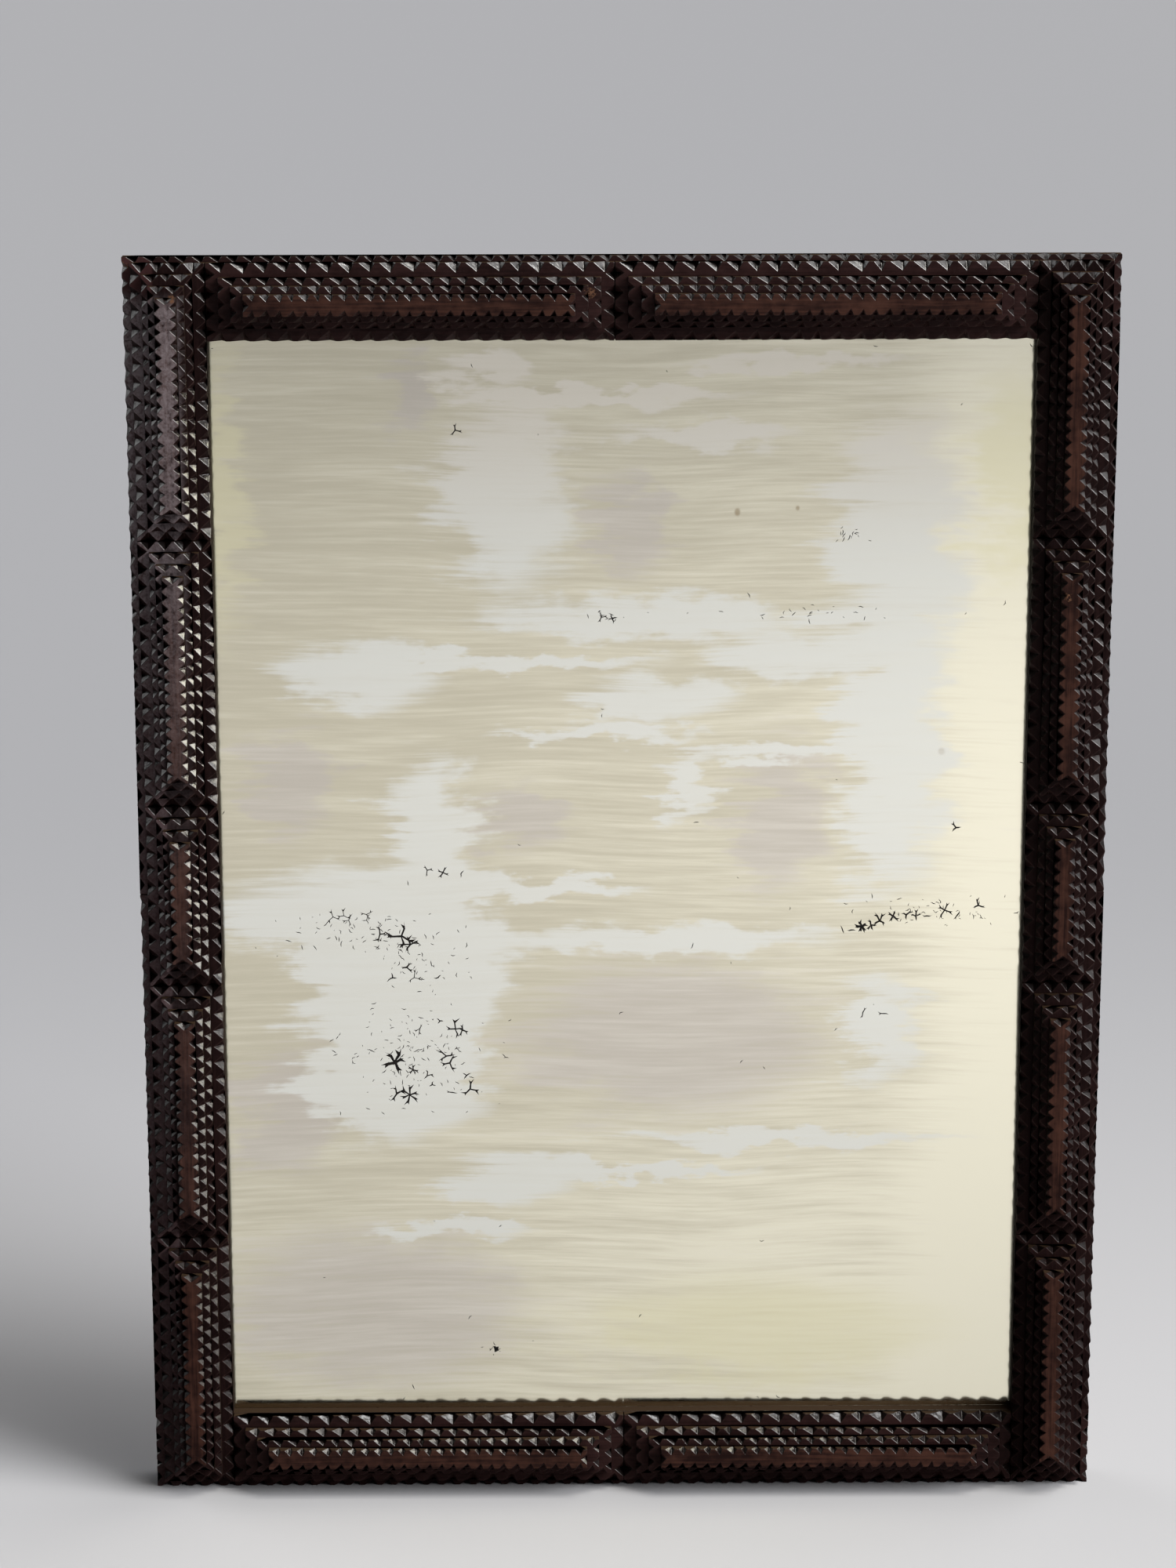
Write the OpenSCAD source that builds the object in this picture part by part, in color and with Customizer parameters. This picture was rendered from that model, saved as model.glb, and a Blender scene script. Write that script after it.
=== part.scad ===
// Tramp art mirror frame: stepped stacks of notch-carved slats on a board frame, round an old mirror.
// Origin: mouth of the hanger's nail hole. X runs to the right, Z up, and the front faces -Y.

/* [Frame] */
// Width of the frame over the base boards
frame_w = 400; // [320:1:520]
// Height of the frame over the base boards
frame_h = 528; // [480:1:700]

/* [Base boards] */
// Width of the base boards, from the outer edge to the edge of the mirror
base_w = 33.5; // [32:0.5:40]
// Thickness of the base boards
base_t = 5.5; // [3:0.1:8]
// Gap left between boards or slats that butt
joint_gap = 0.3; // [0.1:0.05:0.6]

/* [Stacks] */
// Distance from the top and bottom of the frame to the first valley between stacks
end_section = 114.5; // [95:0.5:120]
// Length of the second stack from either end of a side
second_section = 111; // [90:0.5:120]
// How far the joint between the two top stacks lies to the right of the centre
top_split = -3; // [-20:0.5:20]
// How far the joint between the two bottom stacks lies to the right of the centre
bottom_split = 0.5; // [-20:0.5:20]
// Base board left showing outside the foot slats at the sides and the bottom
side_rim = 3.5; // [2.5:0.1:6]
// Base board left showing outside the foot slats at the top
top_rim = 2; // [1:0.1:6]
// Thickness of every slat in a stack
slat_t = 4; // [3:0.1:6]
// Width of the second slat
second_w = 20.2; // [18:0.1:22]
// Width of the third slat
third_w = 14.4; // [12:0.1:16]
// Width of the ridge slat
ridge_w = 8.6; // [7.5:0.1:10]
// How far each slat at the sides stops short of the end of the slat below it
side_end_step = 4.2; // [3.8:0.1:6]
// How far each slat at the top and bottom stops short of the end of the slat below it
rail_end_step = 5.2; // [3.8:0.1:7]
// Glue line between the slats of a stack
glue_line = 0.04; // [0.02:0.01:0.1]

/* [Notches] */
// Pitch of the notches on the base boards at the sides
side_base_pitch = 7.7; // [6:0.1:10]
// Pitch of the notches on the foot slats at the sides
side_foot_pitch = 7.2; // [6:0.1:9]
// Pitch of the notches on the second slats at the sides
side_second_pitch = 6; // [5:0.1:8]
// Pitch of the notches on the third slats at the sides
side_third_pitch = 5.5; // [5:0.1:8]
// Pitch of the notches on the ridge slats at the sides
side_ridge_pitch = 5; // [4:0.1:6]
// Pitch of the notches on the base boards at the top and bottom
rail_base_pitch = 6.7; // [6:0.1:10]
// Pitch of the notches on the foot slats at the top and bottom
rail_foot_pitch = 8.5; // [6:0.1:10]
// Pitch of the notches on the second slats at the top and bottom
rail_second_pitch = 7.1; // [5:0.1:8]
// Pitch of the notches on the third slats at the top and bottom
rail_third_pitch = 5.9; // [5:0.1:8]
// Pitch of the notches on the ridge slats at the top and bottom
rail_ridge_pitch = 5.3; // [4:0.1:6]
// Depth of the notches on the base boards, measured on the front face
base_cut = 2.4; // [1:0.1:2.8]
// Depth of the notches on the foot slats
foot_cut = 3.8; // [2:0.1:4]
// Depth of the notches on the second and third slats
step_cut = 2.6; // [1.5:0.05:2.65]
// Depth of the notches on the ridge slats
ridge_cut = 2.5; // [1:0.1:2.8]
// Flat tip left between two notches at the sides
side_land = 0.5; // [0.2:0.05:0.8]
// Flat tip left between two notches at the top and bottom
rail_land = 1.8; // [0.2:0.05:2.4]
// Where the valley of a notch at the top and bottom lies, as a share of its width from the left
rail_lean = 0.68; // [0.3:0.01:0.7]
// Plain stretch left at each corner of a slat
corner_land = 0.8; // [0.5:0.05:1.5]
// Edge left whole at the back of a slat, where the notches run out
heel = 0.4; // [0.2:0.05:1]
// How far the hand-cut tips stray, as a share of the pitch
tip_stray = 0.12; // [0:0.01:0.15]
// How far the hand-cut depths stray, as a share of the depth
cut_stray = 0.1; // [0:0.01:0.12]

/* [Back] */
// Thickness of the back frame behind the base boards
back_t = 12; // [11:0.5:20]
// How far the back frame is set in from the outer edge
back_inset = 3; // [1:0.1:6]
// Overlap of the glass behind the base boards
rebate = 5.5; // [4:0.1:8]
// Thickness of the mirror plate
mirror_t = 2; // [1.5:0.1:4]
// Thickness of the backing board
backing_t = 3; // [2:0.1:4]
// Gap round the glass and the backing board
rebate_fit = 0.6; // [0.3:0.1:1]

/* [Fasteners] */
// Diameter of the backing brads
brad_d = 1.6; // [1.2:0.1:2.2]
// Length of the backing brads
brad_len = 16; // [12:0.5:20]
// Length of a brad that is driven into the back frame
brad_grip = 9; // [6:0.5:10]
// Brads along each side
side_brads = 4; // [2:1:6]
// Brads along the top and the bottom
end_brads = 3; // [2:1:5]

/* [Hanger] */
// Distance from the top of the frame down to the nail hole
hanger_drop = 15.5; // [13:0.1:18]
// Width of the hanger strap
strap_w = 46; // [40:0.5:60]
// Height of the hanger strap
strap_h = 14; // [13:0.5:16]
// Thickness of the hanger strap, which is let in flush
strap_t = 1.5; // [1.2:0.1:2]
// Diameter of the nail hole
nail_d = 7; // [5:0.1:8]
// Depth of the nail hole in the wood behind the strap
nail_depth = 8; // [4:0.5:8]
// Diameter of the hanger screws' shanks
screw_d = 3; // [2.5:0.1:3.5]
// Diameter of the hanger screws' countersunk heads
screw_head_d = 6; // [5:0.1:7]
// Length of the hanger screws
screw_len = 9; // [6:0.5:9]
// Distance between the hanger screws
screw_span = 32; // [26:0.5:40]

/* [Hidden] */
$fn = 48;
spare = 1;

// Colours of the photographed object
stain = "#35241d";
worn_stain = "#4a3027";
bare_wood = "#8a6a48";
board_wood = "#7a5f42";
silvering = "#d8d6cc";
iron = "#4d4b49";

// Depths, from the wall at 0 to the front
base_back = -back_t;
base_front = base_back - base_t;
foot_back = base_front - glue_line;
second_back = foot_back - slat_t - glue_line;
third_back = second_back - slat_t - glue_line;
ridge_back = third_back - slat_t - glue_line;

// Heights and widths of the frame and of the mirror's opening
left = -frame_w / 2;
right = frame_w / 2;
top = hanger_drop;
bottom = top - frame_h;
sight_left = left + base_w;
sight_right = right - base_w;
sight_top = top - base_w;
sight_bottom = bottom + base_w;
middle = (top + bottom) / 2;
back_w = base_w - back_inset - rebate;

// The four valleys on a side, from the top down
valleys = [
  top - end_section,
  top - end_section - second_section,
  bottom + end_section + second_section,
  bottom + end_section
];
side_ends = [top - top_rim, valleys[0], valleys[1], valleys[2], valleys[3], bottom + side_rim];

// Each stack: its name and the box its foot slat fills, as [left, bottom, right, top]
function side_stack(name, from, to, i) =
  [str(name, "_", i + 1), [from, side_ends[i + 1] + joint_gap / 2, to, side_ends[i] - joint_gap / 2]];
function rail_stack(name, low, high, split, i) =
  let (from = i == 0 ? sight_left + joint_gap / 2 : split + joint_gap / 2)
  let (to = i == 0 ? split - joint_gap / 2 : sight_right - joint_gap / 2)
  [str(name, "_", i + 1), [from, low, to, high]];
STACKS = concat(
  [for (i = [0:4]) side_stack("left", left + side_rim, sight_left - joint_gap / 2, i)],
  [for (i = [0:4]) side_stack("right", sight_right + joint_gap / 2, right - side_rim, i)],
  [for (i = [0:1]) rail_stack("top", sight_top, top - top_rim - joint_gap / 2, top_split, i)],
  [for (i = [0:1]) rail_stack("bottom", bottom + side_rim, sight_bottom, bottom_split, i)]
);

// Is this stack's length upright?
function upright(box) = box[3] - box[1] > box[2] - box[0];

// The value that holds for this stack, of the one at the sides and the one at the top and bottom
function by_place(box, side, rail) = upright(box) ? side : rail;
function end_step(box) = by_place(box, side_end_step, rail_end_step);

// The box of a slat of width w, set in from the foot slat's ends by inset and centred on its width
function slat_box(box, w, inset) =
  let (x = (box[0] + box[2]) / 2)
  let (z = (box[1] + box[3]) / 2)
  upright(box)
    ? [x - w / 2, box[1] + inset, x + w / 2, box[3] - inset]
    : [box[0] + inset, z - w / 2, box[2] - inset, z + w / 2];

// Where the valley of a notch on edge e lies, as a share of its width from the edge's start.
// The top edge of a board runs to the left, the bottom edge to the right.
function valley_share(box, e) =
  upright(box) || e % 2 == 1 ? 0.5 : e == 0 ? rail_lean : 1 - rail_lean;

// One knife cut in an edge that runs along X, with the wood at +Y and the front at t.
// Its two flat sides meet in a valley that rises from the heel to the front face, cut deep.
module notch(from, to, share, t, cut, tip) {
  rise = t - heel;
  valley = norm([cut, rise]);
  reach = cut * rise / valley;
  w = to - from;
  clear = 1 + tip / (2 * w);
  translate([from + share * w, 0, heel])
    rotate([atan2(rise, cut) - 90, 0, 0])
      translate([0, 0, -spare])
        linear_extrude(height = valley + 2 * spare)
          polygon([[0, 0], [-share * w * clear, -reach * clear], [(1 - share) * w * clear, -reach * clear]]);
}

// A row of hand-cut notches along an edge of the given length, with a flat tip between them
module notch_row(length, share, t, pitch, cut, tip, seed) {
  room = length - 2 * corner_land;
  count = max(1, round(room / pitch));
  step = room / count;
  tip_luck = rands(-tip_stray, tip_stray, count + 1, seed);
  cut_luck = rands(-cut_stray, cut_stray, count, seed + 0.5);
  tips = [for (i = [0:count]) corner_land + step * (i + (i == 0 || i == count ? 0 : tip_luck[i]))];
  for (i = [0:count - 1])
    notch(tips[i] + tip / 2, tips[i + 1] - tip / 2, share, t, cut * (1 + cut_luck[i]), tip);
}

// A board with notches along the chosen edges: bottom, right, top and left
module notched_board(box, back, t, pitch, cut, seed, edges = [1, 1, 1, 1]) {
  w = box[2] - box[0];
  h = box[3] - box[1];
  tip = by_place(box, side_land, rail_land);
  starts = [[0, 0], [w, 0], [w, h], [0, h]];
  translate([box[0], back, box[1]])
    rotate([90, 0, 0])
      difference() {
        cube([w, h, t]);
        for (e = [0:3])
          if (edges[e])
            translate(starts[e])
              rotate(90 * e)
                notch_row(e % 2 == 0 ? w : h, valley_share(box, e), t, pitch, cut, tip, seed + e);
      }
}

// The slats of one stack, from the base board to the ridge
module foot_slat(box, seed) {
  pitch = by_place(box, side_foot_pitch, rail_foot_pitch);
  color(stain)
    notched_board(box, foot_back, slat_t, pitch, foot_cut, seed);
}

module second_slat(box, seed) {
  second_box = slat_box(box, second_w, end_step(box));
  pitch = by_place(box, side_second_pitch, rail_second_pitch);
  color(stain)
    notched_board(second_box, second_back, slat_t, pitch, step_cut, seed + 10);
}

module crown_slats(box, seed) {
  third_box = slat_box(box, third_w, 2 * end_step(box));
  third_pitch = by_place(box, side_third_pitch, rail_third_pitch);
  ridge_box = slat_box(box, ridge_w, 3 * end_step(box));
  ridge_pitch = by_place(box, side_ridge_pitch, rail_ridge_pitch);
  color(stain)
    notched_board(third_box, third_back, slat_t, third_pitch, step_cut, seed + 20);
  color(worn_stain)
    notched_board(ridge_box, ridge_back, slat_t, ridge_pitch, ridge_cut, seed + 30);
}

// A base board, notched along its outer edges
module base_board(box, seed, edges) {
  pitch = by_place(box, side_base_pitch, rail_base_pitch);
  color(stain)
    notched_board(box, base_back, base_t, pitch, base_cut, seed, edges);
}

module base_top() {
  base_board([left, sight_top, right, top], 1000, [0, 1, 1, 1]);
}

module base_bottom() {
  base_board([left, bottom, right, sight_bottom], 1010, [1, 1, 0, 1]);
}

module base_left_upper() {
  base_board([left, middle + joint_gap / 2, sight_left, sight_top], 1020, [0, 0, 0, 1]);
}

module base_left_lower() {
  base_board([left, sight_bottom, sight_left, middle - joint_gap / 2], 1030, [0, 0, 0, 1]);
}

module base_right_upper() {
  base_board([sight_right, middle + joint_gap / 2, right, sight_top], 1040, [0, 1, 0, 0]);
}

module base_right_lower() {
  base_board([sight_right, sight_bottom, right, middle - joint_gap / 2], 1050, [0, 1, 0, 0]);
}

// A bar of the back frame, less the holes of the brads driven into it
module back_bar(box) {
  color(bare_wood)
    difference() {
      translate([box[0], -back_t, box[1]])
        cube([box[2] - box[0], back_t, box[3] - box[1]]);
      brads();
    }
}

module back_stile_left() {
  x = left + back_inset;
  back_bar([x, bottom + back_inset, x + back_w, top - back_inset]);
}

module back_stile_right() {
  x = right - back_inset;
  back_bar([x - back_w, bottom + back_inset, x, top - back_inset]);
}

module back_rail_top() {
  z = top - back_inset;
  color(bare_wood)
    difference() {
      back_bar([left + back_inset + back_w, z - back_w, right - back_inset - back_w, z]);
      translate([-strap_w / 2, -strap_t, -strap_h / 2])
        cube([strap_w, strap_t + spare, strap_h]);
      into_wood(nail_d, strap_t + nail_depth);
      screws();
    }
}

module back_rail_bottom() {
  z = bottom + back_inset;
  back_bar([left + back_inset + back_w, z, right - back_inset - back_w, z + back_w]);
}

// A board that lies in the rebate, with its front at the given depth
module rebate_board(front, t) {
  w = frame_w - 2 * (back_inset + back_w + rebate_fit);
  h = frame_h - 2 * (back_inset + back_w + rebate_fit);
  translate([-w / 2, front, middle - h / 2])
    cube([w, t, h]);
}

module mirror_plate() {
  color(silvering)
    rebate_board(base_back, mirror_t);
}

module backing_board() {
  color(board_wood)
    rebate_board(base_back + mirror_t, backing_t);
}

// Brads, driven into the back frame just behind the backing board, which they hold
module brads() {
  y = base_back + mirror_t + backing_t + brad_d / 2;
  opening_w = frame_w - 2 * (back_inset + back_w);
  opening_h = frame_h - 2 * (back_inset + back_w);
  for (i = [0:side_brads - 1], side = [-1, 1])
    translate([side * (opening_w / 2 + brad_grip), y, middle + opening_h * ((i + 0.5) / side_brads - 0.5)])
      rotate([0, -90 * side, 0])
        cylinder(d = brad_d, h = brad_len);
  for (i = [0:end_brads - 1], side = [-1, 1])
    translate([opening_w * ((i + 0.5) / end_brads - 0.5), y, middle + side * (opening_h / 2 + brad_grip)])
      rotate([90 + 90 * side, 0, 0])
        cylinder(d = brad_d, h = brad_len);
}

module backing_brads() {
  color(iron)
    brads();
}

// A round hole from the wall's side into the wood
module into_wood(d, depth) {
  rotate([90, 0, 0])
    translate([0, 0, -spare])
      cylinder(d = d, h = depth + spare);
}

// The hanger's countersunk screws, with heads flush in the strap
module screws() {
  head_h = (screw_head_d - screw_d) / 2;
  for (side = [-1, 1])
    translate([side * screw_span / 2, 0, 0])
      rotate([90, 0, 0]) {
        cylinder(d1 = screw_head_d, d2 = screw_d, h = head_h);
        cylinder(d = screw_d, h = screw_len);
      }
}

module hanger_strap() {
  color(iron)
    difference() {
      translate([-strap_w / 2, -strap_t, -strap_h / 2])
        cube([strap_w, strap_t, strap_h]);
      into_wood(nail_d, strap_t + spare);
      screws();
    }
}

module hanger_screws() {
  color(iron)
    screws();
}

for (i = [0:len(STACKS) - 1]) {
  name = STACKS[i][0];
  box = STACKS[i][1];
  seed = 40 * i;
  foot_slat(box, seed);
  second_slat(box, seed);
  crown_slats(box, seed);
}
base_top();
base_bottom();
base_left_upper();
base_left_lower();
base_right_upper();
base_right_lower();
back_stile_left();
back_stile_right();
back_rail_top();
back_rail_bottom();
mirror_plate();
backing_board();
backing_brads();
hanger_strap();
hanger_screws();
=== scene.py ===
import math
import random

import bpy
from mathutils import Matrix, Vector
from mathutils.geometry import delaunay_2d_cdt


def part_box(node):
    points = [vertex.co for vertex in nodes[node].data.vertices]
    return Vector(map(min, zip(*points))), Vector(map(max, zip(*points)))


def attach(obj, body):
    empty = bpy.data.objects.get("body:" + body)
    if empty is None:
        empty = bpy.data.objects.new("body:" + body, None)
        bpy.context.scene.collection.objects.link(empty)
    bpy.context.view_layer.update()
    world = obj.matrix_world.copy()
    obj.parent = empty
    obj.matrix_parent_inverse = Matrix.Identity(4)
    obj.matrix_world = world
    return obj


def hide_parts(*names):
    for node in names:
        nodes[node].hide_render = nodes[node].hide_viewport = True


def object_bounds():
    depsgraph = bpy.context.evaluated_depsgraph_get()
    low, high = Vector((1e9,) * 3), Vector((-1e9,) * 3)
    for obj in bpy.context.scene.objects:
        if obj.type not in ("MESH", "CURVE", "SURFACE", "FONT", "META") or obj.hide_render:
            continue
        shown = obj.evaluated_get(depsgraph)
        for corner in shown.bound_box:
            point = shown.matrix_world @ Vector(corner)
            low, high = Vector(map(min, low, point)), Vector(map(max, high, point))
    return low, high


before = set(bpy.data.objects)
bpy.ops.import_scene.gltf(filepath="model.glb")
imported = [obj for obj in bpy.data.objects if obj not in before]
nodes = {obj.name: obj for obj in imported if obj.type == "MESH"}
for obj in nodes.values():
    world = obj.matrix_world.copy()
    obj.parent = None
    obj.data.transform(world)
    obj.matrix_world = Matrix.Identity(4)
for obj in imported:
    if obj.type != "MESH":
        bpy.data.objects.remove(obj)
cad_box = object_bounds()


# The back frame: two stiles and two rails of plain softwood, butted and glued behind the base boards.
# They carry everything else, and their inner edges make the rebate that the mirror lies in.
# Their backs were left bare and have browned with age, and their sides are stained like the front.
class Socket:
    """An output of a shader node. Arithmetic on it adds Math nodes to the same tree."""

    def __init__(self, tree, output):
        self.tree = tree
        self.output = output

    def node(self, kind, settings=None, inputs=None, out=0):
        """Adds a node: its settings come first, then its sockets, by name or number, from values or links."""
        new = self.tree.nodes.new(kind)
        for key, value in (settings or {}).items():
            setattr(new, key, value)
        for key, value in (inputs or {}).items():
            if isinstance(value, Socket):
                self.tree.links.new(value.output, new.inputs[key])
            else:
                new.inputs[key].default_value = value
        return Socket(self.tree, new.outputs[out])

    def math(self, operation, *values):
        """A Math node on these values."""
        return self.node("ShaderNodeMath", {"operation": operation}, dict(enumerate(values)))

    def vector(self, operation, *values, out=0):
        """A Vector Math node on these values."""
        return self.node("ShaderNodeVectorMath", {"operation": operation}, dict(enumerate(values)), out)

    def __add__(self, other):
        return self.math("ADD", self, other)

    def __sub__(self, other):
        return self.math("SUBTRACT", self, other)

    def __rsub__(self, other):
        return self.math("SUBTRACT", other, self)

    def __mul__(self, other):
        return self.math("MULTIPLY", self, other)

    def __neg__(self):
        return self.math("MULTIPLY", self, -1.0)

    def __abs__(self):
        return self.math("ABSOLUTE", self)

    __radd__ = __add__
    __rmul__ = __mul__

    def between(self, low, high):
        """0 where the value is at low, 1 where it is at high, with a soft step between."""
        settings = {"interpolation_type": "SMOOTHSTEP"}
        return self.node("ShaderNodeMapRange", settings, {"Value": self, "From Min": low, "From Max": high})

    def mix(self, low, high):
        """A colour between two colours, by this value. A Mix node's colour sockets go by their numbers."""
        first, second, result = 6, 7, 2
        ends = [end if isinstance(end, Socket) else (*end, 1.0) for end in (low, high)]
        inputs = {"Factor": self, first: ends[0], second: ends[1]}
        return self.node("ShaderNodeMix", {"data_type": "RGBA"}, inputs, result)

    def parts(self):
        """The X, Y and Z of this vector."""
        split = self.node("ShaderNodeSeparateXYZ", inputs={0: self})
        return [Socket(self.tree, output) for output in split.output.node.outputs]

    def stretched(self, x, y, z):
        """This position with each axis scaled, in marks per metre."""
        return self.vector("MULTIPLY", self, (x, y, z))

    def even(self, marks):
        """This position with all axes scaled alike, in marks per metre."""
        return self.stretched(marks, marks, marks)

    def noise(self, detail=3.0, roughness=0.5, distortion=0.0):
        """Noise of about one mark per unit of this position."""
        inputs = {
            "Vector": self,
            "Scale": 1.0,
            "Detail": detail,
            "Roughness": roughness,
            "Distortion": distortion,
        }
        return self.node("ShaderNodeTexNoise", inputs=inputs)


def new_finish(name):
    """A material with a Principled shader: returns the material, the shader and a surface's own position."""
    material = bpy.data.materials.new(name)
    material.use_nodes = True
    tree = material.node_tree
    shader = next(n for n in tree.nodes if n.type == "BSDF_PRINCIPLED")
    place = Socket(tree, tree.nodes.new("ShaderNodeTexCoord").outputs["Object"])
    return material, shader, place


def plug(shader, **sockets):
    """Sets the shader's sockets, named with _ for a space, from values or links."""
    for name, value in sockets.items():
        target = shader.inputs[name.replace("_", " ")]
        if isinstance(value, Socket):
            value.tree.links.new(value.output, target)
        else:
            target.default_value = value


def normal_parts(place):
    """The X, Y and Z of the surface's own normal. The front faces -Y and the top +Z."""
    return place.node("ShaderNodeTexCoord", out="Normal").parts()


def relief(height, depth, strength=1.0):
    """A normal from a height of 0 to 1 that stands for a depth in metres."""
    return height.node("ShaderNodeBump", inputs={"Height": height, "Distance": depth, "Strength": strength})


def dress(names, *finishes):
    """Gives each named CAD node these materials."""
    for name in names:
        slots = nodes[name].data.materials
        slots.clear()
        for finish in finishes:
            slots.append(finish)


grain_share = 0.05
growth_marks = 13
growth_phase = 130
fibre_marks = 1400
grime_marks = 14
fibre_depth = 0.0003
pale_pine = (0.36, 0.215, 0.11)
aged_pine = (0.14, 0.075, 0.036)
side_dark = (0.010, 0.005, 0.0042)
side_light = (0.030, 0.014, 0.011)


def bare_wood(name, along, pale, dark):
    """Softwood with bare faces and stained sides, whose grain runs along the X or the Z axis."""
    material, shader, place = new_finish(name)
    board = place.stretched(1, 1, grain_share) if along == "Z" else place.stretched(grain_share, 1, 1)
    growth = board.even(growth_marks).noise(detail=1) * growth_phase
    rings = growth.math("SINE", growth) * 0.5 + 0.5
    fibres = board.even(fibre_marks).noise(detail=3, roughness=0.6)
    grime = place.even(grime_marks).noise(detail=4)
    tone = rings * 0.2 + fibres * 0.4 + grime * 0.6
    bare = tone.between(0.3, 0.9).mix(pale, dark)
    stained = fibres.between(0.3, 0.7).mix(side_dark, side_light)
    _, normal_y, _ = normal_parts(place)
    side = abs(normal_y).between(0.6, 0.3)
    plug(
        shader,
        Base_Color=side.mix(bare, stained),
        Roughness=0.6 + fibres * 0.3,
        Normal=relief(fibres + rings * 0.3, fibre_depth, 0.5),
    )
    return material


dress(["back_stile_left", "back_stile_right"], bare_wood("back_stile_pine", "Z", pale_pine, aged_pine))
dress(["back_rail_top", "back_rail_bottom"], bare_wood("back_rail_pine", "X", pale_pine, aged_pine))


# The base boards and the slats of the stacks: thin wood, notched with a knife along the edges, glued up
# in steps and stained nearly black. The shellac is still glossy in the notches, but the flat faces have
# worn to a dull red-brown, greyed at the top left by dust and a painted sheen, and chipped in a few places.
edge_wear = 0.00022
same_point = 1e-6
level_angle = math.radians(0.5)
worn_angle = math.radians(20)
facet_angle = math.radians(5)


def worn_edges(name):
    """Rounds a CAD board's sharp edges as handling has, and gives the rounding its second material."""
    merge = nodes[name].modifiers.new("merge", "WELD")
    merge.merge_threshold = same_point
    flatten = nodes[name].modifiers.new("flatten", "DECIMATE")
    flatten.decimate_type = "DISSOLVE"
    flatten.angle_limit = level_angle
    wear = nodes[name].modifiers.new("wear", "BEVEL")
    wear.width = edge_wear
    wear.segments = 2
    wear.limit_method = "ANGLE"
    wear.angle_limit = worn_angle
    wear.material = 1
    facet = nodes[name].modifiers.new("facet", "EDGE_SPLIT")
    facet.split_angle = facet_angle


def on_front(x, z):
    """A position on the front, by its X and Z."""
    return x.node("ShaderNodeCombineXYZ", inputs={0: x, 1: z})


def spot(flat, x, z, wide, high):
    """1 in the middle of an ellipse on a front face, falling to 0 at its edge."""
    offset = flat.vector("SUBTRACT", flat, (x, z, 0))
    length = flat.vector("LENGTH", offset.stretched(1 / wide, 1 / high, 0), out="Value")
    return length.between(1.0, 0.2)


# Where dust and a painted sheen lie on the left stile, with dust and painted light down its outer slope: each
# pair is the X or the Z with none of it, and the one with all of it
left_edge = cad_box[0][0]
dust_and_sheen_stile_x = (left_edge + 0.026, left_edge + 0.020)
dust_and_light_slope_x = (left_edge + 0.0135, left_edge + 0.012)
dust_and_light_slope_z = (-0.70, -0.20)
dust_and_sheen_top_z = (-0.25, -0.02)
dust_and_sheen_half_z = (-0.42, -0.30)
plain_rim_z = (0.004, -0.006)
top_dust_and_sheen = 0.7
slope_dust_and_light = 0.28
half_dust_and_sheen = 0.06
dust_and_sheen_strength = 1.45
dust_and_sheen_grey = (0.15, 0.124, 0.13)


def dust_and_painted_light_share(x, z, slope, mottled):
    """The share of dust and painted sheen: most at the top of the left stile, and some all down its outer
    slope, where it is also painted light.
    """
    upper = z.between(*dust_and_sheen_top_z) * top_dust_and_sheen
    total = upper + slope * slope_dust_and_light + z.between(*dust_and_sheen_half_z) * half_dust_and_sheen
    below_rim = x.between(*dust_and_sheen_stile_x) * total * z.between(*plain_rim_z)
    return below_rim * mottled.between(0.05, 1.2) * dust_and_sheen_strength


# Each chip has the X and Z of its middle, and its radius
worn_chips = [
    (-0.1793, 0.0002, 0.003),
    (-0.0125, 0.0018, 0.004),
    (-0.1990, 0.0120, 0.003),
    (0.1801, -0.1210, 0.003),
]
chipped_wood = (0.12, 0.06, 0.035)


def chipped_share(flat, specks):
    """1 where the stain has chipped away, with a ragged edge."""
    chips = sum(spot(flat, x, z, radius, radius) for x, z, radius in worn_chips)
    return (chips * 0.5 + (specks - 0.5) * 2.5).between(0.3, 0.7) * chips.between(0.0, 0.3)


def lay_over(place, under_coat, top_coat, share):
    """Lays one shader over another, by a share that varies over the surface."""
    coats = [Socket(place.tree, shader.outputs[0]) for shader in (under_coat, top_coat)]
    mixed = place.node("ShaderNodeMixShader", inputs={0: share, 1: coats[0], 2: coats[1]})
    place.tree.links.new(mixed.output, place.tree.get_output_node("ALL").inputs["Surface"])


ridge_front = -cad_box[0][1]
ridge_range = (ridge_front - 0.001, ridge_front - 0.0002)
gloss_z = (-0.50, -0.05)
grain_marks = {"X": (40, 900, 900), "Z": (900, 900, 40)}
patch_marks = 28
uneven_marks = 260
hollow_marks = 380
speck_marks = 900
grain_depth = 0.0003
hollow_depth = 0.0005
bared_dark = (0.011, 0.0048, 0.0042)
bared_light = (0.047, 0.0200, 0.0140)
# A red painted down the left stile's outer slope, where the ridge shades the faces: painted light.
slope_painted_light_red = (0.12, 0.05, 0.05)
# Sawn edges are painted darker where they face sideways or down and lighter where they face up: painted shade
# and light.
sawn_shaded = (0.010, 0.0066, 0.0045)
sawn_lit = (0.026, 0.0160, 0.0095)


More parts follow.
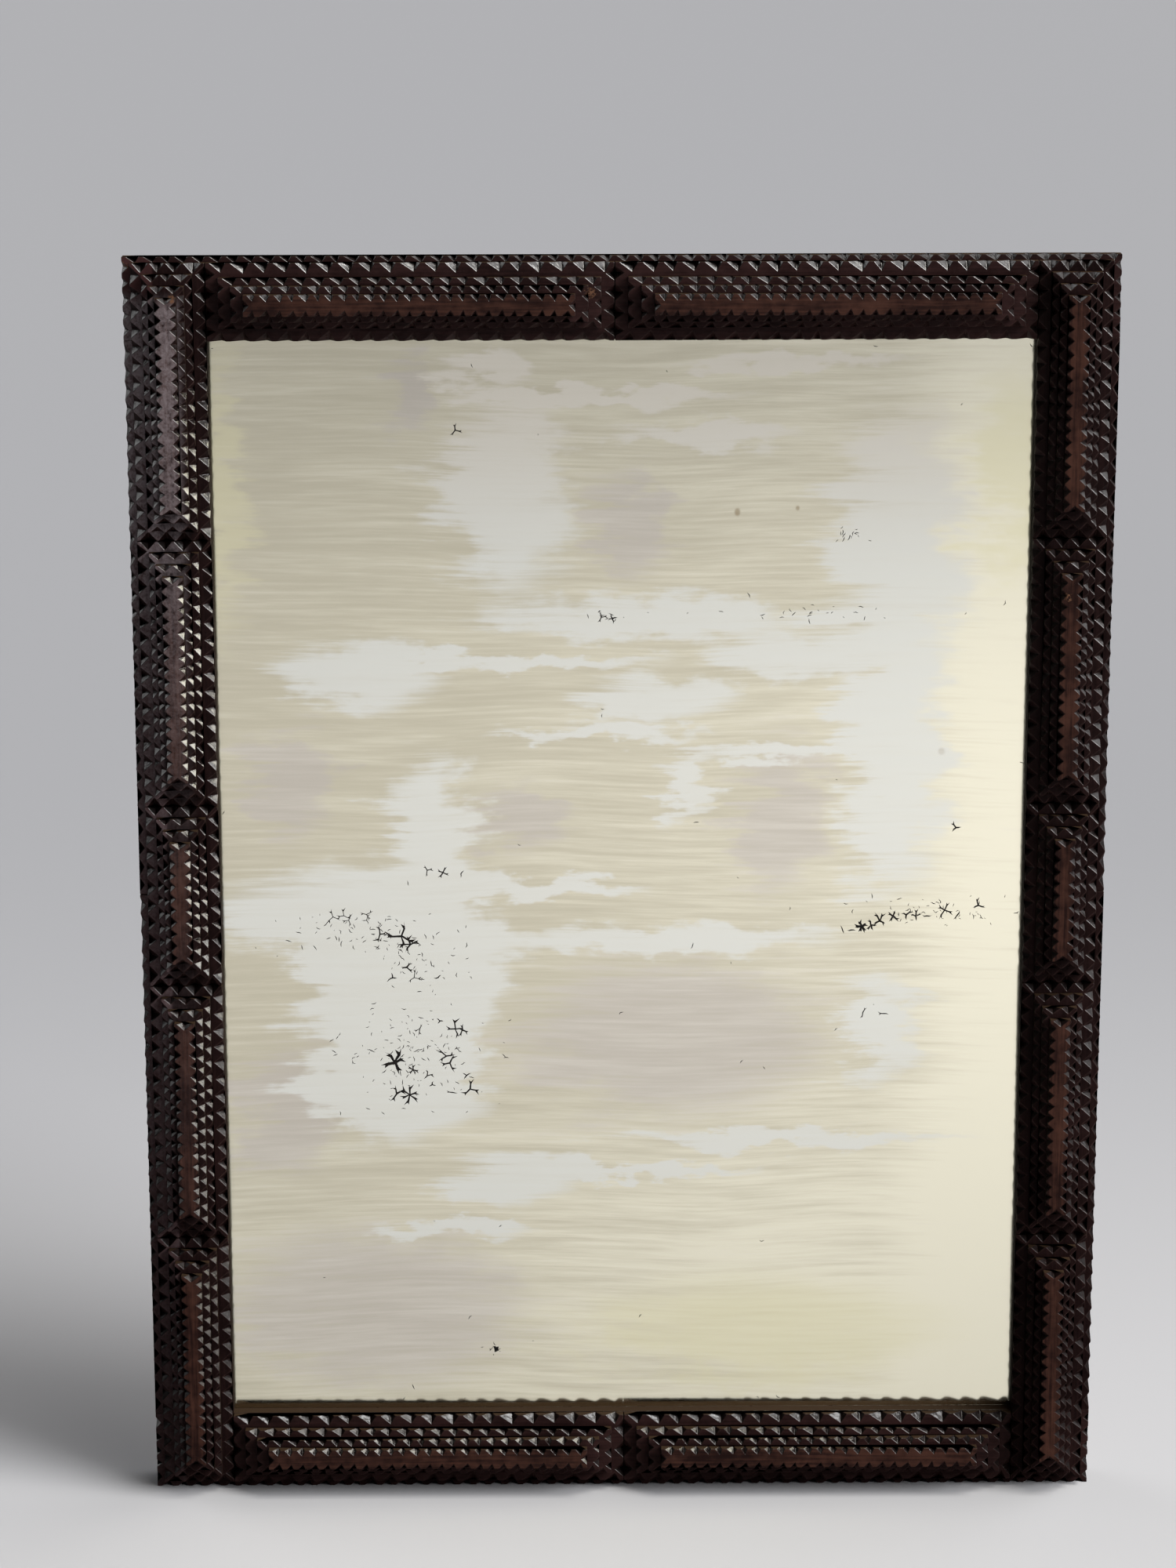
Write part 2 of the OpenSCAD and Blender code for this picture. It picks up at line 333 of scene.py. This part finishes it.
def stained_wood(name, along, dark, light, notch, gloss):
    """Stained wood whose grain runs along X or Z, with the gloss of its shellac at the foot and the top."""
    material, shader, place = new_finish(name)
    x, y, z = place.parts()
    _, normal_y, normal_z = normal_parts(place)
    face = (-normal_y).between(0.8, 0.97)
    sawn = abs(normal_y).between(0.2, 0.1)
    under = normal_z.between(-0.1, -0.35)
    ridge = (-y).between(*ridge_range) * face
    grain = place.stretched(*grain_marks[along]).noise(roughness=0.6)
    patches = place.even(patch_marks).noise()
    uneven = place.even(uneven_marks).noise(detail=2)
    hollows = place.even(hollow_marks).noise(detail=2)
    specks = place.even(speck_marks).noise(detail=4, roughness=0.7)
    tone = grain * 0.4 + patches * 0.4 + uneven * 0.2
    stain = tone.between(0.34, 0.68).mix(dark, light)
    bared = tone.between(0.38, 0.64).mix(bared_dark, bared_light)
    slope = x.between(*dust_and_light_slope_x) * z.between(*dust_and_light_slope_z)
    # The ridge's worn faces are bared, and down the left stile's outer slope the faces are painted redder and
    # lighter: painted light.
    worn_and_lit = (slope * 0.25).mix(ridge.mix(stain, bared), slope_painted_light_red)
    mottled = grain * 0.5 + uneven * 0.8 + specks * 1.4 - 0.7
    # The faces are greyed at the top left by dust and a painted sheen, and down the outer slope by dust and
    # painted light.
    greyed = dust_and_painted_light_share(x, z, slope, mottled).mix(worn_and_lit, dust_and_sheen_grey)
    # Sawn edges that face up are painted lighter and the rest darker: painted light and shade.
    sawn_edge_lit_and_shaded = normal_z.between(0.3, 0.7).mix(sawn_shaded, sawn_lit)
    # Notch facets take the darker notch colour, but those that face down take the faces' stain: painted light
    # from below.
    cut = sawn.mix(under.mix(notch, stain), sawn_edge_lit_and_shaded)
    chipped = chipped_share(on_front(x, z), specks)
    plug(
        shader,
        Base_Color=chipped.mix(face.mix(cut, greyed), chipped_wood),
        Roughness=0.55 + grain * 0.3,
        Specular_IOR_Level=0.02,
        Normal=relief(grain * 0.3 + uneven, grain_depth, 0.6),
    )
    shellac = place.tree.nodes.new("ShaderNodeBsdfPrincipled")
    plug(
        shellac,
        Base_Color=cut,
        Roughness=0.22 + uneven * 0.14,
        IOR=1.7,
        Normal=relief(hollows, hollow_depth, 0.7),
    )
    low_gloss, high_gloss = gloss
    polish = z.between(*gloss_z) * (high_gloss - low_gloss) + low_gloss
    kept = (1.0 - face * 0.97) * (1.0 - sawn) * (1.0 - under * 0.9) * polish * (0.5 + uneven)
    lay_over(place, shader, shellac, kept)
    return material


stile_dark = (0.0055, 0.0024, 0.0023)
stile_light = (0.0145, 0.0065, 0.0062)
rail_dark = (0.0095, 0.0042, 0.004)
rail_light = (0.027, 0.012, 0.0113)
stain_pool = (0.005, 0.0025, 0.0023)
worn_dark = (0.010, 0.005, 0.0045)
worn_light = (0.034, 0.0185, 0.016)
stile_gloss = (0.11, 0.8)
rail_gloss = (0.5, 1.3)
worn_stile_gloss = (0.09, 0.6)
worn_rail_gloss = (0.4, 1.0)
stained_upright = stained_wood("stained_wood_upright", "Z", stile_dark, stile_light, stain_pool, stile_gloss)
stained_level = stained_wood("stained_wood_level", "X", rail_dark, rail_light, stain_pool, rail_gloss)
worn_upright = stained_wood("worn_edge_upright", "Z", worn_dark, worn_light, worn_dark, worn_stile_gloss)
worn_level = stained_wood("worn_edge_level", "X", worn_dark, worn_light, worn_dark, worn_rail_gloss)
for name in nodes:
    layer = name.rsplit("_", 1)[-1]
    if name.startswith("base") or layer in ("foot", "second", "crown"):
        level = name.startswith(("top", "bottom", "base_top", "base_bottom"))
        if level:
            dress([name], stained_level, worn_level)
        else:
            dress([name], stained_upright, worn_upright)
        worn_edges(name)


# The mirror: a thin plate of old glass, silvered on the back and brushed with a coat that has turned khaki
# and mauve in long level streaks, and is painted lighter towards the right and the foot as a painted
# reflection.
# Where the coat has come away the silver is pale, and cracked into black stars and dashes, which are faces
# of the plate's front painted near black as shade of the backing board behind. The plate lies in the rebate.
plate_low, plate_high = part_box("mirror_plate")
millimetre = 0.001
fork_length = 2.4
crack_seed = 5
# Each star has the X and Z of its middle, its reach, its count of arms and its heart's radius, in mm
stars = [
    (-101, -267.5, 3.2, 3, 0.35), (-92, -268.5, 5.5, 4, 0.55), (-88.5, -272, 4.2, 4, 0.5),
    (-95.5, -323.5, 5, 5, 0.9), (-88, -327, 2.6, 5, 0.4), (-74, -321, 4, 3, 0.4),
    (-72.5, -324, 4, 3, 0.4), (-70, -309, 3.6, 4, 0.4), (-67, -309.5, 2.8, 3, 0.4),
    (-89.5, -338, 4, 6, 0.55), (-95, -337.5, 3.2, 3, 0.4), (-64, -335.5, 3.6, 3, 0.4),
    (-65.5, -329.5, 2.2, 3, 0.3), (-90, -282, 2.8, 3, 0.4), (-96, -286.5, 1.8, 3, 0.35),
    (-77, -286.5, 1.6, 2, 0.3), (-82, -329.5, 2.2, 3, 0.3), (-80, -333.5, 1.6, 3, 0.3),
    (-71.5, -337, 2, 2, 0.25), (-76.5, -305.5, 1.6, 3, 0.3), (-85, -309, 2.5, 3, 0.25),
    (-120.5, -260, 3, 3, 0.2), (-116, -259.5, 3, 3, 0.2), (-114, -261.5, 2.7, 3, 0.2),
    (-106.5, -259, 3, 3, 0.2), (-106.5, -261.5, 2.2, 3, 0.2), (-87, -286.5, 3.6, 3, 0.2),
    (-81, -240, 2.2, 3, 0.25), (-74.5, -241, 2.4, 4, 0.35), (-67, -241.5, 2, 2, 0.25),
    (92, -266.5, 2, 2, 0.25), (95.5, -266.5, 1.6, 2, 0.3), (100, -265, 2.8, 5, 0.8),
    (104, -264.5, 2.4, 4, 0.5), (107.5, -262.5, 3.2, 4, 0.5), (113, -260.5, 2.8, 4, 0.5),
    (118.5, -260, 2.4, 3, 0.4), (122.5, -260.5, 2.4, 4, 0.4), (127, -260.5, 2, 2, 0.3),
    (134.5, -258, 3.6, 4, 0.4), (140, -260, 2, 2, 0.3), (148.5, -256, 2.8, 3, 0.4),
    (138.5, -222.5, 2.4, 3, 0.4), (-8.5, -133, 2.1, 3, 0.25), (-4, -133.5, 2.2, 4, 0.35),
    (-67.5, -55.5, 3.2, 3, 0.3), (101, -302.5, 2, 2, 0.25), (110, -303, 2, 2, 0.25),
    (-54, -452.5, 1.4, 4, 0.8),
]
# Each field of dashes has the X and Z of its middle, its width, its height and its count, in mm
dashes = [
    (-88, -321, 32, 21, 150), (-108, -267, 36, 8, 80), (-84, -281, 16, 10, 45), (70, -131, 45, 3, 26),
    (94, -99, 8, 3, 14), (125, -259, 36, 5, 60), (-5, -133, 12, 2, 10), (0, -250, 240, 300, 40),
    (-54, -452.5, 4, 4, 9),
]
dash_reach = (0.3, 1.2)
dash_heart = 0.07
dash_swell = 0.1
dash_x_range = (-165, 165)
dash_z_range = (-475, -22)
# How crooked the cracks are, as shares of the angle between their arms, their reach, length or heart
arm_stray = 0.2
arm_reach = (0.9, 1.4)
arm_width = 0.75
knee_stray = 0.18
fork_spread = (0.12, 0.28)


def crack(luck, x, z, reach, arms, heart):
    """The outline of one crack in the silver, in metres: crooked arms that taper away from its heart."""
    middle = Vector((x, z))
    turn = luck.uniform(0, math.tau)
    outline = []
    for arm in range(arms):
        aim = turn + math.tau * (arm + luck.uniform(-arm_stray, arm_stray)) / arms
        gap = aim - math.pi / arms
        along = Vector((math.cos(aim), math.sin(aim)))
        across = Vector((-along.y, along.x))
        length = reach * luck.uniform(*arm_reach)
        knee = middle + along * length * 0.5 + across * length * luck.uniform(-knee_stray, knee_stray)
        tip = middle + along * length
        half = across * heart * arm_width
        outline.append(middle + Vector((math.cos(gap), math.sin(gap))) * heart)
        if length > fork_length:
            fork = across * length * luck.uniform(*fork_spread)
            crotch = knee + along * length * 0.2
            outline += [knee - half, tip - fork, crotch, tip * 0.4 + crotch * 0.6 + fork, knee + half]
        else:
            outline += [knee - half, tip, knee + half]
    return [point * millimetre for point in outline]


def within(value, limits):
    """The value, kept within two limits."""
    return min(max(value, limits[0]), limits[1])


def scattered_dashes(luck):
    """The outlines of the small cracks, denser towards the middle of each field."""
    outlines = []
    for x, z, wide, high, count in dashes:
        for _ in range(count):
            reach = luck.uniform(*dash_reach)
            at_x = within(luck.gauss(x, wide / 2), dash_x_range)
            at_z = within(luck.gauss(z, high / 2), dash_z_range)
            outlines.append(crack(luck, at_x, at_z, reach, 2, dash_heart + reach * dash_swell))
    return outlines


def cracked_plate():
    """The plate as one closed solid, whose front is divided by the outlines of the cracks."""
    luck = random.Random(crack_seed)
    corners = [
        Vector((plate_low.x, plate_low.z)),
        Vector((plate_high.x, plate_low.z)),
        Vector((plate_high.x, plate_high.z)),
        Vector((plate_low.x, plate_high.z)),
    ]
    outlines = [corners] + [crack(luck, *star) for star in stars] + scattered_dashes(luck)
    points = [point for outline in outlines for point in outline]
    counts = [len(outline) for outline in outlines]
    starts = [sum(counts[:i]) for i in range(len(counts))]
    loops = [list(range(start, start + count)) for start, count in zip(starts, counts)]
    inside_only = 1
    smallest_gap = 1e-7
    flat, _, front, came_from, _, inside = delaunay_2d_cdt(points, [], loops, inside_only, smallest_gap)
    ring = [next(i for i, sources in enumerate(came_from) if corner in sources) for corner in range(4)]
    verts = [(p.x, plate_low.y, p.y) for p in flat] + [(c.x, plate_high.y, c.y) for c in corners]
    back = [len(flat) + i for i in range(4)]
    faces = [list(face) for face in front] + [back[::-1]]
    faces += [[ring[i - 1], back[i - 1], back[i], ring[i]] for i in range(4)]
    mesh = bpy.data.meshes.new("mirror")
    mesh.from_pydata(verts, [], faces)
    for polygon, owners in zip(mesh.polygons, inside):
        polygon.material_index = int(len(owners) > 1)
    plate = bpy.data.objects.new("mirror", mesh)
    bpy.context.scene.collection.objects.link(plate)
    bpy.ops.object.select_all(action="DESELECT")
    plate.select_set(True)
    bpy.context.view_layer.objects.active = plate
    bpy.ops.object.mode_set(mode="EDIT")
    bpy.ops.mesh.select_all(action="SELECT")
    bpy.ops.mesh.normals_make_consistent(inside=False)
    bpy.ops.object.mode_set(mode="OBJECT")
    return plate


silver_pale = (0.82, 0.825, 0.76)
silver_warm = (0.81, 0.765, 0.66)
silver_khaki = (0.63, 0.59, 0.45)
silver_cream = (0.95, 0.91, 0.73)
silver_mauve = (0.60, 0.555, 0.485)
silver_lilac = (0.84, 0.80, 0.715)
silver_yellow = (0.86, 0.815, 0.53)
silver_foxed = (0.30, 0.21, 0.10)
# Each patch has the X and Z of its middle, its half width and its half height
pale_patches = [
    (-0.098, -0.306, 0.056, 0.074), (-0.113, -0.258, 0.085, 0.030), (0.018, -0.270, 0.110, 0.010),
    (-0.086, -0.285, 0.060, 0.034), (-0.096, -0.330, 0.056, 0.036),
    (-0.025, -0.248, 0.060, 0.006), (0.112, -0.110, 0.044, 0.100), (0.112, -0.205, 0.034, 0.070),
    (0.108, -0.310, 0.026, 0.038), (-0.046, -0.083, 0.042, 0.064), (0.015, -0.133, 0.100, 0.014),
    (0.012, -0.167, 0.050, 0.015), (0.066, -0.150, 0.044, 0.014), (-0.109, -0.158, 0.052, 0.022),
    (-0.077, -0.222, 0.030, 0.050), (-0.047, -0.375, 0.044, 0.018), (-0.070, -0.398, 0.050, 0.006),
    (0.024, -0.206, 0.016, 0.022), (-0.060, -0.030, 0.034, 0.010), (0.034, -0.058, 0.060, 0.009),
    (0.070, -0.358, 0.110, 0.006), (0.010, -0.372, 0.080, 0.005), (-0.010, -0.042, 0.090, 0.006),
    (0.070, -0.027, 0.060, 0.006), (0.060, -0.190, 0.060, 0.006), (-0.010, -0.182, 0.070, 0.006),
    (-0.040, -0.152, 0.080, 0.006),
]
mauve_patches = [
    (0.021, -0.313, 0.100, 0.054), (-0.106, -0.434, 0.100, 0.056), (-0.137, -0.203, 0.024, 0.036),
    (-0.142, -0.345, 0.034, 0.044), (0.065, -0.217, 0.032, 0.050), (-0.041, -0.218, 0.030, 0.020),
    (-0.086, -0.040, 0.018, 0.026), (0.002, -0.095, 0.024, 0.034),
]
yellow_patches = [
    (0.058, -0.444, 0.120, 0.040), (0.163, -0.075, 0.030, 0.070), (-0.166, -0.080, 0.020, 0.100),
]
foxing = [
    (0.047, -0.0895, 0.0022, 0.003), (0.0715, -0.088, 0.0016, 0.002), (0.132, -0.190, 0.003, 0.003),
]
# Marks per metre of the brushed coat, across and up
bow_marks = (7, 5, 0)
brush_marks = (13, 300, 0)
stroke_marks = (7, 80, 0)
hair_marks = (22, 620, 0)
roll_marks = (36, 80, 0)
# How far the streaks bow, and how far the patches' edges are drawn out by each kind of mark
streak_bow = 0.012
stroke_drag = 0.05
brush_drag = 0.03
roll_drag = 0.06
roll_rise = 0.03
# Where the coat is painted lighter towards the right and the foot, a painted reflection, and where the silver
# turns warmer: from none of it to all of it
painted_reflection_x = (-0.17, 0.17)
painted_reflection_edge_x = (0.10, 0.16)
painted_reflection_foot_x = (-0.10, 0.17)
painted_reflection_foot_z = (-0.30, -0.44)
warm_top_z = (-0.12, -0.03)


def patched(flat, places):
    """The sum of soft ellipses, each given by its middle, half width and half height."""
    return sum(spot(flat, *place) for place in places)


def old_silver():
    """Old silvering and its brushed coat, seen through glass."""
    material, shader, place = new_finish("old_silver")
    x, _, z = place.parts()
    flat = on_front(x, z)
    bowed = on_front(x, z + flat.stretched(*bow_marks).noise(detail=1) * streak_bow)
    brush = bowed.stretched(*brush_marks).noise(detail=5, roughness=0.7, distortion=0.1)
    strokes = bowed.stretched(*stroke_marks).noise(detail=4, roughness=0.6, distortion=0.4)
    hairs = bowed.stretched(*hair_marks).noise(detail=3, roughness=0.6)
    roll = flat.stretched(*roll_marks).noise(detail=5, roughness=0.6)
    ragged_x = x + (strokes - 0.5) * stroke_drag + (brush - 0.5) * brush_drag + (roll - 0.5) * roll_drag
    ragged = on_front(ragged_x, z + (roll - 0.5) * roll_rise)
    streak = (strokes * 0.3 + brush * 0.4 + hairs * 0.3 - 0.5) * 2.0 + 0.5
    feather = streak - 0.5
    # The coat is painted lighter towards the right and the foot: a painted reflection.
    painted_reflection_side = x.between(*painted_reflection_x) * 0.20 + x.between(*painted_reflection_edge_x) * 0.42
    painted_reflection_foot = z.between(*painted_reflection_foot_z) * (0.16 + x.between(*painted_reflection_foot_x) * 0.16)
    painted_reflection = painted_reflection_side + painted_reflection_foot - 0.13
    coat = (streak + painted_reflection).between(0.20, 1.0).mix(silver_khaki, silver_cream)
    grey = (streak + painted_reflection * 0.9).between(0.20, 1.2).mix(silver_mauve, silver_lilac)
    mauve = (patched(ragged, mauve_patches) + feather * 1.5).between(0.15, 0.85) * 0.85
    yellow = (patched(ragged, yellow_patches) + (roll - 0.5)).between(0.1, 1.1) * 0.6
    tarnish = yellow.mix(mauve.mix(coat, grey), silver_yellow)
    pale = (patched(ragged, pale_patches) + feather).between(0.15, 0.85) * (0.7 + streak * 0.5)
    clear = z.between(*warm_top_z).mix(silver_pale, silver_warm)
    spotted = (patched(flat, foxing) * (roll * 1.6)).between(0.2, 1.0) * 0.7
    plug(
        shader,
        Base_Color=spotted.mix(pale.mix(tarnish, clear), silver_foxed),
        Metallic=1.0,
        Roughness=0.10 + brush * 0.08,
        Coat_Weight=1.0,
        Coat_Roughness=0.03,
    )
    return material


dirt_marks = 900
# Near black and brown, mottled by dirt: painted shade of the backing board seen through bare glass.
backing_shade_black = (0.002, 0.0018, 0.0016)
backing_shade_brown = (0.010, 0.0075, 0.006)


def bared_glass():
    """Glass with no silver behind it, coloured near black: painted shade of the backing board behind it."""
    material, shader, place = new_finish("bared_glass")
    dirt = place.even(dirt_marks).noise()
    plug(
        shader,
        Base_Color=dirt.between(0.35, 0.65).mix(backing_shade_black, backing_shade_brown),
        Roughness=0.6,
        Specular_IOR_Level=0.1,
        Coat_Weight=0.1,
        Coat_Roughness=0.03,
    )
    return material


mirror = cracked_plate()
mirror.data.materials.append(old_silver())
mirror.data.materials.append(bared_glass())
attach(mirror, "root")
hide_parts("mirror_plate")


# The backing board: one thin sawn board laid over the back of the mirror, its grain upright.
# It is bare and grimy, and only the brads hold it.
pale_board = (0.30, 0.18, 0.09)
aged_board = (0.12, 0.068, 0.033)
dress(["backing_board"], bare_wood("backing_board_wood", "Z", pale_board, aged_board))


# The brads and the hanger strap: plain iron, dark from age with rust coming through.
# The brads are driven into the back frame over the backing board. The strap is let in flush.
dark_iron = (0.09, 0.085, 0.08)
iron_rust = (0.13, 0.05, 0.022)
rust_marks = 300
rust_fade = 0.12


def old_iron(name, bare, clean):
    """Old iron with spots of rust, fewer the higher the share kept clean."""
    material, shader, place = new_finish(name)
    rust = place.even(rust_marks).noise(detail=5, roughness=0.65)
    spots = rust.between(clean, clean + rust_fade)
    colour = spots.mix(bare, iron_rust)
    plug(shader, Base_Color=colour, Metallic=1.0 - spots, Roughness=0.4 + spots * 0.4)
    return material


dress(["backing_brads", "hanger_strap"], old_iron("dark_iron", dark_iron, clean=0.5))


# The hanger's screws: two countersunk iron wood screws, driven in flush with the strap and less rusty.
# Their slots were sawn, and each has come to rest at its own angle.
screw_low, screw_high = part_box("hanger_screws")
screw_sides = 32
head_radius = (screw_high.z - screw_low.z) / 2
head_depth = 0.0015
shank_radius = 0.0015
slot_width = 0.0010
slot_depth = 0.0008
left_turn = math.radians(24)
right_turn = math.radians(-63)
bright_iron = (0.24, 0.23, 0.21)


def carve(body, operation, tool):
    """Joins a tool to a body or cuts it away, and removes the tool."""
    bpy.ops.object.select_all(action="DESELECT")
    body.select_set(True)
    bpy.context.view_layer.objects.active = body
    change = body.modifiers.new("change", "BOOLEAN")
    change.operation = operation
    change.solver = "EXACT"
    change.object = tool
    bpy.ops.object.modifier_apply(modifier="change")
    bpy.data.objects.remove(tool)


def slotted_screw(x, turn):
    """One countersunk screw with its head towards the wall and its slot turned from level."""
    lengthwise = (math.pi / 2, 0, 0)
    back = screw_high.y
    shank_length = back - screw_low.y - head_depth / 2
    bpy.ops.object.select_all(action="DESELECT")
    bpy.ops.mesh.primitive_cylinder_add(
        vertices=screw_sides,
        radius=shank_radius,
        depth=shank_length,
        location=(x, screw_low.y + shank_length / 2, 0),
        rotation=lengthwise,
    )
    shank = bpy.context.object
    bpy.ops.mesh.primitive_cone_add(
        vertices=screw_sides,
        radius1=head_radius,
        radius2=shank_radius,
        depth=head_depth,
        location=(x, back - head_depth / 2, 0),
        rotation=lengthwise,
    )
    screw = bpy.context.object
    carve(screw, "UNION", shank)
    bpy.ops.mesh.primitive_cube_add(size=1, location=(x, back, 0), rotation=(0, turn, 0))
    saw = bpy.context.object
    saw.scale = (head_radius * 3, slot_depth * 2, slot_width)
    carve(screw, "DIFFERENCE", saw)
    bpy.ops.object.select_all(action="DESELECT")
    screw.select_set(True)
    bpy.ops.object.transform_apply()
    return screw


screw_reach = screw_high.x - head_radius
pair = [slotted_screw(-screw_reach, left_turn), slotted_screw(screw_reach, right_turn)]
for screw in pair:
    screw.select_set(True)
bpy.context.view_layer.objects.active = pair[0]
bpy.ops.object.join()
screws = bpy.context.object
screws.name = "slotted_screws"
screws.data.materials.append(old_iron("screw_iron", bright_iron, clean=0.55))
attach(screws, "root")
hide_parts("hanger_screws")


# The studio: a plain pale floor at the frame's lower edge, a broad window on the right, light from the
# wall beside it and a fainter one from behind on the left, and a soft lamp over the floor in front,
# which is what the mirror shows.
floor_size = 60
floor_level = cad_box[0][2]
floor_grey = (0.36, 0.36, 0.375, 1)
sky_colour = (0.95, 0.97, 1.0, 1)
sky_strength = 0.03
lamp_colour = (1.0, 0.97, 0.9)
bpy.ops.object.select_all(action="DESELECT")
bpy.ops.mesh.primitive_plane_add(size=floor_size, location=(0, 0, floor_level))
floor = bpy.context.object
floor.name = "floor"
floor_paint, floor_shader, _ = new_finish("floor_paint")
plug(floor_shader, Base_Color=floor_grey, Roughness=0.8)
floor.data.materials.append(floor_paint)

world = bpy.data.worlds.new("studio")
bpy.context.scene.world = world
world.use_nodes = True
world.node_tree.nodes["Background"].inputs["Color"].default_value = sky_colour
world.node_tree.nodes["Background"].inputs["Strength"].default_value = sky_strength


def skylight(name, towards, strength, angle):
    """A broad soft light from far off, in the direction given."""
    lamp = bpy.data.lights.new(name, "SUN")
    lamp.energy = strength
    lamp.angle = math.radians(angle)
    light = bpy.data.objects.new(name, lamp)
    bpy.context.scene.collection.objects.link(light)
    light.rotation_euler = Vector(towards).to_track_quat("Z", "Y").to_euler()


def softbox(name, place, aim, size, power, spread):
    """A square soft lamp at a place, aimed at a point."""
    lamp = bpy.data.lights.new(name, "AREA")
    lamp.shape = "SQUARE"
    lamp.size = size
    lamp.energy = power
    lamp.spread = math.radians(spread)
    lamp.color = lamp_colour
    box = bpy.data.objects.new(name, lamp)
    bpy.context.scene.collection.objects.link(box)
    box.location = place
    box.rotation_euler = (Vector(place) - Vector(aim)).to_track_quat("Z", "Y").to_euler()


skylight("window", towards=(0.74, -0.42, 0.52), strength=4.2, angle=30)
skylight("wall", towards=(0.68, 0.14, 0.72), strength=1.6, angle=70)
skylight("left", towards=(-0.70, 0.47, 0.53), strength=0.7, angle=40)
softbox("over", place=(0.9, -0.7, 1.7), aim=(0.6, -1.9, -0.5), size=1.2, power=52, spread=130)
bpy.context.scene.view_settings.view_transform = "Standard"


# The camera stands in front of the frame, a little to the left and well above its middle, looking down.
# Its place and angles are those at which the frame's four corners fall where they do in the photograph.
photo_height_px = 2000
focal_px = 5200
sensor_mm = 36
camera_place = (-0.0223, -1.6483, 0.2032)
camera_degrees = (13.951, 0.288, 0.136)
lens = bpy.data.cameras.new("camera")
lens.sensor_fit = "VERTICAL"
lens.sensor_height = sensor_mm
lens.lens = sensor_mm * focal_px / photo_height_px
camera = bpy.data.objects.new("camera", lens)
bpy.context.scene.collection.objects.link(camera)
camera.location = camera_place
pitch, yaw, roll = (math.radians(angle) for angle in camera_degrees)
tilt = Matrix.Rotation(math.pi / 2 - pitch, 3, "X") @ Matrix.Rotation(-roll, 3, "Z")
camera.rotation_euler = (Matrix.Rotation(-yaw, 3, "Z") @ tilt).to_euler()
bpy.context.scene.camera = camera
